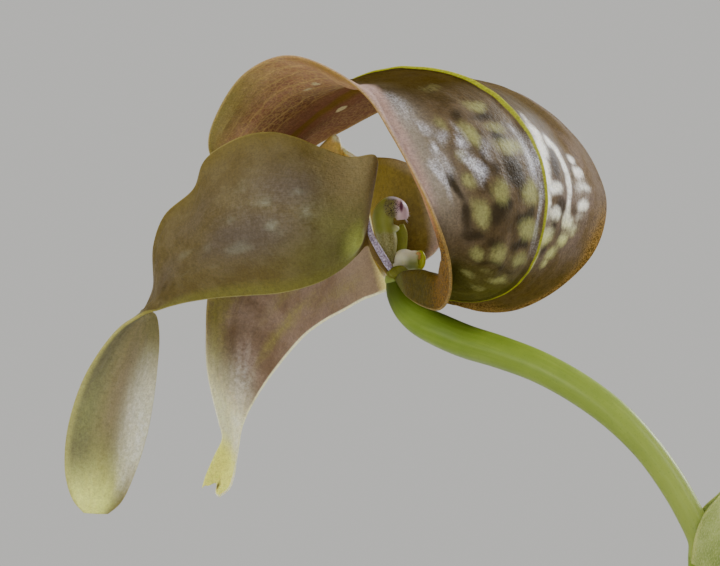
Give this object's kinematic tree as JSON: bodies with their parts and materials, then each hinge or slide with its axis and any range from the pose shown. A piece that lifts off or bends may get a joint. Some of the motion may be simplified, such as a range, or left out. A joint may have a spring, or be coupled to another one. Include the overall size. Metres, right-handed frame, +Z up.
{
  "type": "potted bulbophyllum grandiflorum",
  "caption": "Potted orchid with a creeping rhizome, angled pseudobulbs, single broad leaves and one large hooded flower on an arched stalk above a terracotta pot.",
  "frame": {"origin": "centre of the pot's base", "axes": "+Z up; +X to the right and +Y away from the viewer as the picture shows the flower"},
  "size_m": [0.1953, 0.132, 0.3392],
  "materials": {
    "terracotta": "unglazed, matt, lime bloom",
    "bark_mix": "rough bark chips and moss",
    "rhizome_skin": "ringed, dull",
    "pseudobulb_skin": "smooth, waxy",
    "leaf": "leathery, half gloss",
    "sheath": "papery, matt",
    "stalk": "smooth, half gloss",
    "dorsal_sepal": "waxy with pale windows",
    "lateral_sepal_near": "waxy, mottled olive",
    "lateral_sepal_far": "waxy, mottled pink",
    "petal": "smooth",
    "lip": "glossy, speckled",
    "column": "smooth, half gloss",
    "anther": "smooth"
  },
  "bodies": {
    "root": {"pot": "terracotta", "potting_mix": "bark_mix", "rhizome": "rhizome_skin", "pseudobulb_1": "pseudobulb_skin", "pseudobulb_2": "pseudobulb_skin", "pseudobulb_3": "pseudobulb_skin", "pseudobulb_4": "pseudobulb_skin", "leaf_1": "leaf", "leaf_2": "leaf", "leaf_3": "leaf", "leaf_4": "leaf", "new_shoot": "sheath", "peduncle": "stalk", "peduncle_sheath_lower": "sheath", "peduncle_sheath_upper": "sheath", "floral_bract": "sheath", "ovary": "stalk", "dorsal_sepal": "dorsal_sepal", "lateral_sepal_near": "lateral_sepal_near", "lateral_sepal_far": "lateral_sepal_far", "petal_near": "petal", "petal_far": "petal", "lip": "lip", "column": "column", "anther_cap": "anther"}
  },
  "joints": []
}
